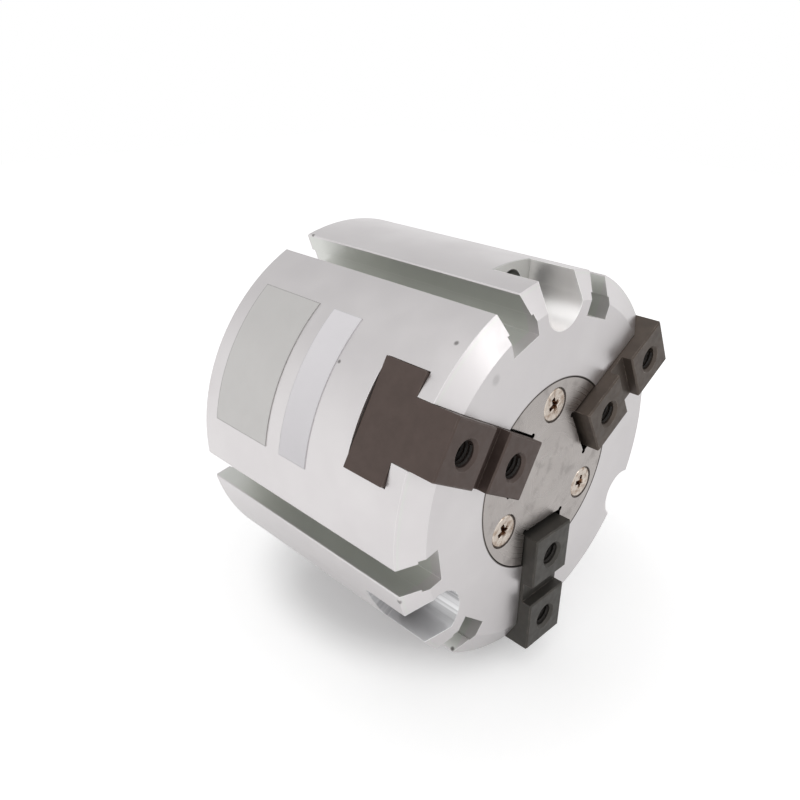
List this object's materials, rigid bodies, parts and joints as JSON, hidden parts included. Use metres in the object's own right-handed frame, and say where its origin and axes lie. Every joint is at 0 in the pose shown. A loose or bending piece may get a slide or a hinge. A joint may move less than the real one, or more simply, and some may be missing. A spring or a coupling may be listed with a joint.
{
  "type": "three jaw centric gripper",
  "caption": "Round pneumatic gripper: an air cylinder in a grooved aluminium body drives a wedge cam that slides T-shaped steel jaws in and out together.",
  "frame": {"origin": "centre of the back mounting face, on the gripper's axis", "axes": "+Z along the axis from the back face to the jaws; jaw_1 slides along -Y"},
  "size_m": [0.07, 0.0701, 0.0547],
  "materials": {
    "body_aluminium": "satin, clear anodised",
    "plate_steel": "fine turned",
    "jaw_steel": "dark phosphate, worn at the edges",
    "cam_steel": "hardened and ground",
    "screw_steel": "nickel plated",
    "black_steel": "black oxide",
    "piston_aluminium": "turned",
    "bright_steel": "ground",
    "bush_bronze": "sintered bronze",
    "seal_rubber": "moulded",
    "magnet_rubber": "filled rubber magnet",
    "bumper_rubber": "urethane rubber",
    "label_foil": "silver foil, bare",
    "label_paper": "matt white, bare"
  },
  "bodies": {
    "housing": {"body": "body_aluminium", "end_plate": "plate_steel", "end_plate_screws": "screw_steel", "rod_bush": "bush_bronze", "rod_seal": "seal_rubber", "rod_seal_retainer": "bright_steel", "front_bumper": "bumper_rubber", "rear_bumper": "bumper_rubber", "rear_cap": "piston_aluminium", "rear_cap_seal": "seal_rubber", "snap_ring": "black_steel", "nameplate": "label_foil", "paper_label": "label_paper"},
    "piston_unit": {"piston": "piston_aluminium", "piston_seal": "seal_rubber", "piston_magnet": "magnet_rubber", "cam": "cam_steel", "cam_bolt": "black_steel", "cam_pin": "bright_steel"},
    "jaw_1_body": {"jaw_1": "jaw_steel"},
    "jaw_2_body": {"jaw_2": "jaw_steel"},
    "jaw_3_body": {"jaw_3": "jaw_steel"}
  },
  "joints": [
    {"name": "piston_slide", "type": "slide", "parent": "housing", "child": "piston_unit", "axis": [0, 0, 1], "range_m": [0, 0.006]},
    {"name": "jaw_1_slide", "type": "slide", "parent": "housing", "child": "jaw_1_body", "axis": [0, -1, 0], "range_m": [0, 0.006]},
    {"name": "jaw_2_slide", "type": "slide", "parent": "housing", "child": "jaw_2_body", "axis": [0.866, 0.5, 0], "range_m": [0, 0.006]},
    {"name": "jaw_3_slide", "type": "slide", "parent": "housing", "child": "jaw_3_body", "axis": [-0.866, 0.5, 0], "range_m": [0, 0.006]}
  ],
  "couplings": [
    {"joint": "jaw_1_slide", "follows": "piston_slide", "ratio": 1},
    {"joint": "jaw_2_slide", "follows": "piston_slide", "ratio": 1},
    {"joint": "jaw_3_slide", "follows": "piston_slide", "ratio": 1}
  ]
}
